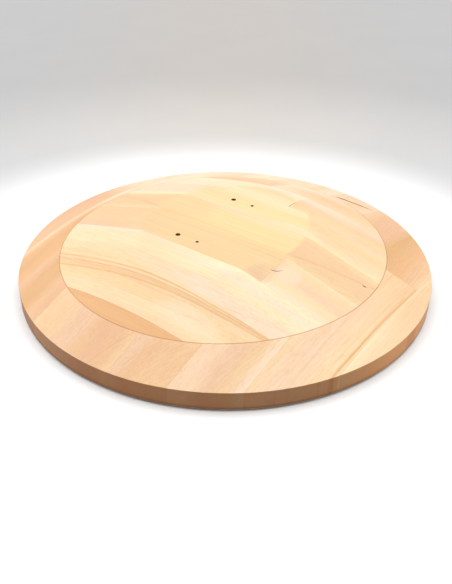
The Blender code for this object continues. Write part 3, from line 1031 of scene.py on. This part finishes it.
def glue_hairs(wood, seams, height):
    """A hair of glue at each seam, and at the glue line between the layers."""
    lines = 1.0
    for place, edge in seams:
        if edge is not None:
            lines = wood.times(lines, wood.smooth(wood.apart(place, edge), 0.05, 0.3, 0.8, 1.0))
    return wood.times(lines, wood.smooth(wood.apart(height, GLUE_LINE / MM), 0.05, 0.22, 0.6, 1.0))


def stave_wood(name, look, grain, across, across_edges, along_edges, seed):
    """Beech: growth rings, fibres, flecks, tones and streaks, all through the solid."""
    wood = Surface(name)
    place = wood.object_place()
    along_mm, across_mm, height_mm = [wood.dot(place, way / MM) for way in (grain, across, Z_AXIS)]

    # Nothing in the wood runs quite straight
    drift = wood.combine(wood.scaled(along_mm, 0.006, 7.3 * seed),
                         wood.times(across_mm, 0.02), wood.times(height_mm, 0.02))
    drifting = wood.noise(drift, 1.0, 2.0, colour=True)
    wander = wood.split(wood.vector_math("SUBTRACT", drifting, (0.5, 0.5, 0.5)))
    leaning = wood.scaled(along_mm, -look["slant"], across_mm)
    side = wood.scaled(wander[0], WANDER, leaning)
    depth = wood.scaled(wander[1], WANDER, height_mm)

    # Fibres at several scales, all long with the grain, and flecks of ray tissue a millimetre or two long
    def fibres(stretch, fineness, detail):
        where = wood.combine(wood.scaled(along_mm, stretch, seed * 3.1),
                             wood.times(side, fineness), wood.times(depth, fineness))
        return wood.noise(where, 1.0, detail, 0.6)

    broad = fibres(0.006, 0.10, 2.0)
    medium = fibres(0.012, 0.45, 3.0)
    fine = fibres(0.025, 2.2, 2.0)
    hairs = wood.smooth(fibres(0.005, 1.1, 1.0), 0.55, 0.70)
    fleck_place = wood.combine(wood.times(along_mm, 0.7), wood.times(across_mm, 5.0),
                               wood.times(height_mm, 2.0))
    fleck = wood.smooth(wood.noise(fleck_place, 1.0, 1.0), 0.62, 0.72)
    low, high = across_edges
    ring = growth_rings(wood, side, depth, low, seed)

    share = wood.divide(wood.minus(side, low), high - low)
    colour = stave_tones(wood, look, share, along_mm)
    colour = add_patches(wood, colour, look["patches"], along_mm, side, medium)
    colour = add_streaks(wood, colour, look["streaks"], along_mm, across_mm, wander[0], fine)

    contrast = look["contrast"]
    shade = wood.minus(1.0 + 0.16 * contrast, wood.times(ring, 0.42 * contrast))
    for pattern, start, end, first, last in (
            (broad, 0.25, 0.75, 1.0 - 0.10 * contrast, 1.0 + 0.06 * contrast),
            (medium, 0.25, 0.75, 1.0 - 0.18 * contrast, 1.0 + 0.08 * contrast),
            (fine, 0.2, 0.8, 0.975, 1.02),
            (hairs, 0.0, 1.0, 1.0 + 0.04 * contrast, 1.0 - 0.22 * contrast),
            (fleck, 0.0, 1.0, 1.0, 0.985)):
        shade = wood.times(shade, wood.smooth(pattern, start, end, first, last))
    colour = wood.darken(colour, shade, 0.45)

    # Glue hairs, painted shade inside the holes and cracks, and painted shade on the rim wall's foot near
    # the floor
    normal = wood.normal()
    upright = wood.minus(1.0, wood.math("ABSOLUTE", wood.split(normal)[2]))
    steep = wood.smooth(upright, 0.4, 0.9)
    hole_shade = wood.times(steep, wood.smooth(height_mm, GLUE_LINE / MM, GLUE_LINE / MM + 0.5))
    # Painted shade on the lowest few millimetres of steep faces, near the floor
    foot_shade = wood.times(steep, wood.smooth(height_mm, RIM_BOTTOM / MM + 5.5, RIM_BOTTOM / MM))
    seams = [(across_mm, edge) for edge in across_edges] + [(along_mm, edge) for edge in along_edges]
    lines = wood.times(glue_hairs(wood, seams, height_mm), wood.smooth(hole_shade, 0.0, 1.0, 1.0, 0.35),
                       wood.smooth(foot_shade, 0.0, 1.0, 1.0, 0.55))
    colour = wood.darken(colour, lines, 0.35)

    # Every steep face, such as the rim wall, is painted in shade, and darker still where it cuts across the
    # fibres, as end grain is
    end_grain = wood.smooth(wood.math("ABSOLUTE", wood.dot(normal, grain)), 0.1, 0.55)
    colour = wood.mix(steep, colour, STEEP_FACE_SHADE_TINT, "MULTIPLY")
    colour = wood.mix(wood.times(steep, end_grain), colour, END_GRAIN_TINT, "MULTIPLY")

    relief = wood.plus(wood.times(ring, -0.5), wood.plus(fine, wood.times(fleck, -0.15)))
    wood.bump(relief, 0.00002)
    roughness = wood.minus(wood.smooth(medium, 0.3, 0.7, 0.52, 0.62), wood.times(steep, 0.06))
    return wood.finish(colour, roughness, specular=0.3)


# Plywood, rubber and metals

PLY_LIGHT = (0.60, 0.42, 0.235)
PLY_DARK = (0.46, 0.285, 0.135)
PLY_GLUE = (0.30, 0.17, 0.08)
RUBBER_DARK = (0.018, 0.018, 0.019)
RUBBER_WORN = (0.050, 0.049, 0.047)
ZINC = (0.56, 0.57, 0.59)
ZINC_DULL = (0.40, 0.41, 0.42)
STEEL = (0.52, 0.53, 0.55)
STEEL_DULL = (0.36, 0.37, 0.38)
TRACK = (0.66, 0.67, 0.68)
GREASE = (0.34, 0.29, 0.20)
BRASS = (0.72, 0.53, 0.22)
BRASS_DULL = (0.42, 0.27, 0.10)
NYLON = (0.74, 0.72, 0.66)
NYLON_SHADE = (0.62, 0.60, 0.53)
BALL = (0.68, 0.69, 0.71)
BALL_SHADE = (0.50, 0.51, 0.53)


def plywood():
    """Birch plywood: face veneer along the layup, crossed plies and dark glue lines on the edge."""
    wood = Surface("base_board")
    place = wood.object_place()
    along, across, height = [wood.dot(place, way / MM) for way in (WITH_LAYUP, ACROSS_LAYUP, Z_AXIS)]
    ply = (BOARD_TOP - BOARD_BOTTOM) / MM / PLY_COUNT
    level = wood.divide(wood.minus(height, BOARD_BOTTOM / MM), ply)
    crossed = wood.math("GREATER_THAN", wood.math("FRACT", wood.divide(level, 2.0)), 0.5)

    def either(first, second):
        return wood.plus(wood.times(first, wood.minus(1.0, crossed)), wood.times(second, crossed))

    def fibres(stretch, fineness):
        ways = []
        for grain, side in ((along, across), (across, along)):
            where = wood.combine(wood.times(grain, stretch), wood.times(side, fineness),
                                 wood.times(height, fineness * 2.0))
            ways.append(wood.noise(where, 1.0, 3.0, 0.6))
        return either(*ways)

    fine = fibres(0.06, 1.6)
    colour = wood.mix(wood.smooth(fibres(0.008, 0.11), 0.35, 0.75), PLY_LIGHT, PLY_DARK)
    colour = wood.mix(wood.smooth(fine, 0.5, 0.8, 0.0, 0.45), colour, PLY_DARK)

    # On the edge, the plies that show their end grain are darker, and glue lines part them
    normal = wood.normal()
    upright = wood.minus(1.0, wood.math("ABSOLUTE", wood.split(normal)[2]))
    edge = wood.smooth(upright, 0.5, 0.95)
    end = either(*[wood.math("ABSOLUTE", wood.dot(normal, way)) for way in (WITH_LAYUP, ACROSS_LAYUP)])
    end_grain = wood.times(edge, wood.smooth(end, 0.45, 0.9))
    colour = wood.mix(wood.times(end_grain, 0.7), colour, PLY_DARK)
    nearest = wood.apart(wood.math("FRACT", wood.plus(level, 0.5)), 0.5)
    glue = wood.times(wood.smooth(nearest, 0.09, 0.03), wood.times(edge, 0.75))
    colour = wood.mix(glue, colour, PLY_GLUE)
    wood.bump(wood.minus(fine, glue), 0.00005)
    roughness = wood.plus(wood.smooth(fine, 0.3, 0.7, 0.48, 0.6), wood.times(edge, 0.1))
    return wood.finish(colour, roughness, specular=0.35)


def foot_rubber():
    """Black rubber, a little dusty where it is worn, with a fine moulded grain."""
    rubber = Surface("foot_rubber")
    place = rubber.object_place()
    dust = rubber.noise(place, 350.0, 4.0, 0.65)
    grain = rubber.noise(place, 2600.0, 2.0)
    colour = rubber.mix(rubber.smooth(dust, 0.45, 0.75), RUBBER_DARK, RUBBER_WORN)
    rubber.bump(rubber.plus(grain, dust), 0.00006)
    return rubber.finish(colour, rubber.smooth(dust, 0.3, 0.7, 0.68, 0.86))


def mottled_metal(name, bright, dull, roughness, scale, grain_scale):
    """Metal with cloudy dull patches and a fine grain."""
    metal = Surface(name)
    place = metal.object_place()
    cloud = metal.noise(place, scale, 4.0, 0.6)
    grain = metal.noise(place, grain_scale, 2.0)
    colour = metal.mix(metal.smooth(cloud, 0.4, 0.75), bright, dull)
    metal.bump(grain, 0.00001)
    return metal.finish(colour, metal.smooth(cloud, 0.3, 0.7, *roughness), metallic=1.0)


def zinc_steel():
    return mottled_metal("screw_zinc", ZINC, ZINC_DULL, (0.26, 0.42), 900.0, 4000.0)


def eyelet_brass():
    return mottled_metal("eyelet_brass", BRASS, BRASS_DULL, (0.22, 0.40), 420.0, 3500.0)


def ball_steel():
    return mottled_metal("ball_steel", BALL, BALL_SHADE, (0.07, 0.14), 700.0, 6000.0)


def pressed_steel(flat, way):
    """Galvanised sheet with spangle, a greased groove and a polished ball track on the ball side."""
    steel = Surface("race_plate_upper" if way > 0 else "race_plate_lower")
    place = steel.object_place()
    sideways, back, height = steel.split(place)
    radius = steel.math("SQRT", steel.squares(sideways, back))
    spangle = steel.node("TexVoronoi")
    steel.put(place, spangle.inputs["Vector"])
    spangle.inputs["Scale"].default_value = 160.0
    flake = steel.split(spangle.outputs["Color"])[0]
    cloud = steel.noise(place, 60.0, 4.0, 0.6)
    rings = steel.noise(steel.combine(steel.times(radius, 2400.0), 0.0, 0.0), 1.0, 3.0)
    colour = steel.mix(steel.smooth(cloud, 0.4, 0.75), STEEL, STEEL_DULL)
    colour = steel.mix(steel.times(flake, 0.22), colour, STEEL_DULL)
    ball_side = steel.smooth(steel.times(height, -way), -way * flat, -way * flat + 0.2 * MM)
    from_track = steel.apart(radius, RACE_RADIUS)
    greased = steel.times(ball_side, steel.smooth(from_track, 3.5 * MM, 0.8 * MM, 0.0, 0.5))
    colour = steel.mix(steel.times(greased, steel.smooth(cloud, 0.2, 0.6)), colour, GREASE)
    track = steel.times(ball_side, steel.smooth(from_track, 0.7 * MM, 0.4 * MM))
    colour = steel.mix(track, colour, TRACK)
    rough = steel.smooth(steel.scaled(flake, 0.5, cloud), 0.2, 1.2, 0.30, 0.48)
    rough = steel.times(rough, steel.smooth(track, 0.0, 1.0, 1.0, 0.4))
    steel.bump(steel.plus(rings, flake), 0.00002)
    return steel.finish(colour, rough, metallic=1.0)


def cage_nylon():
    """Off-white nylon, slightly cloudy, with a faint moulded grain and a film of grease."""
    nylon = Surface("cage_nylon")
    place = nylon.object_place()
    cloud = nylon.noise(place, 220.0, 3.0)
    grain = nylon.noise(place, 2200.0, 2.0)
    colour = nylon.mix(nylon.smooth(cloud, 0.35, 0.7), NYLON, NYLON_SHADE)
    nylon.bump(grain, 0.00004)
    return nylon.finish(colour, nylon.smooth(cloud, 0.3, 0.7, 0.34, 0.5))


# Stage

def floor_paper():
    """Matt white paper with a painted pool of light: its tone is painted darker all round the pool and
    darker still further out, and it is a little warm behind the platter.
    """
    paper = Surface("floor_paper")
    place = paper.object_place()
    sideways, back, _ = paper.split(place)
    radius = paper.math("SQRT", paper.squares(sideways, paper.minus(back, PAINTED_POOL_CENTRE)))
    tone = paper.times(paper.smooth(radius, *PAINTED_POOL_EDGE, FLOOR_TONE, FLOOR_TONE_PAINTED_OUTSIDE),
                       paper.smooth(radius, *PAINTED_FALLOFF, 1.0, PAINTED_FALLOFF_TONE),
                       paper.smooth(paper.noise(place, 9.0, 3.0), 0.3, 0.7, 0.99, 1.01))
    warm = paper.times(paper.smooth(back, *WARM_START), paper.smooth(back, *WARM_END),
                       paper.smooth(paper.math("ABSOLUTE", sideways), *WARM_SIDES))
    colour = paper.mix(warm, (1.0, 1.0, 1.0), FLOOR_WARMTH)
    return paper.finish(paper.darken(colour, tone), 0.9)


def build_stage():
    """A plain floor that looks up."""
    bm = bmesh.new()
    bmesh.ops.create_grid(bm, x_segments=1, y_segments=1, size=FLOOR_HALF)
    mesh = bpy.data.meshes.new("floor")
    bm.to_mesh(mesh)
    bm.free()
    floor = bpy.data.objects.new("floor", mesh)
    bpy.context.scene.collection.objects.link(floor)
    mesh.materials.append(floor_paper())


def build_world():
    """A dark studio with a softbox overhead, one at each side, and a weak one on the camera's side."""
    world = bpy.data.worlds.new("studio")
    bpy.context.scene.world = world
    world.use_nodes = True
    world.node_tree.nodes.clear()
    dome = Nodes(world.node_tree)
    way = dome.node("TexCoord").outputs["Generated"]
    light = 0.0
    for direction, start, end, strength in SOFTBOXES:
        towards = dome.dot(way, Vector(direction).normalized())
        light = dome.plus(light, dome.smooth(towards, start, end, 0.0, strength))
    back = dome.node("Background")
    dome.put(light, back.inputs["Strength"])
    dome.put(back.outputs[0], dome.node("OutputWorld").inputs[0])


def build_camera():
    data = bpy.data.cameras.new("camera")
    data.sensor_width = SENSOR
    data.lens = CAMERA_LENS
    data.clip_end = 2.5 * FLOOR_HALF
    camera = bpy.data.objects.new("camera", data)
    bpy.context.scene.collection.objects.link(camera)
    aim = Matrix.Rotation(math.pi / 2 - CAMERA_DOWN, 4, "X") @ Matrix.Rotation(CAMERA_ROLL, 4, "Z")
    camera.matrix_world = Matrix.Translation(CAMERA_PLACE) @ aim
    bpy.context.scene.camera = camera


def main():
    build_camera()
    build_world()
    build_stage()
    bpy.context.scene.view_settings.view_transform = "Standard"
    lower = saw_staves(layer(lower_ring_points), "lower", ACROSS_LAYUP, WITH_LAYUP,
                       LOWER_SEAMS, LOWER_BUTTS, LOWER_FIGURES)
    upper = saw_staves(layer(upper_ring_points), "upper", WITH_LAYUP, ACROSS_LAYUP,
                       UPPER_SEAMS, UPPER_BUTTS, UPPER_FIGURES)
    drill_platter(lower, upper)
    wear_platter(lower, upper)
    build_hardware()


main()
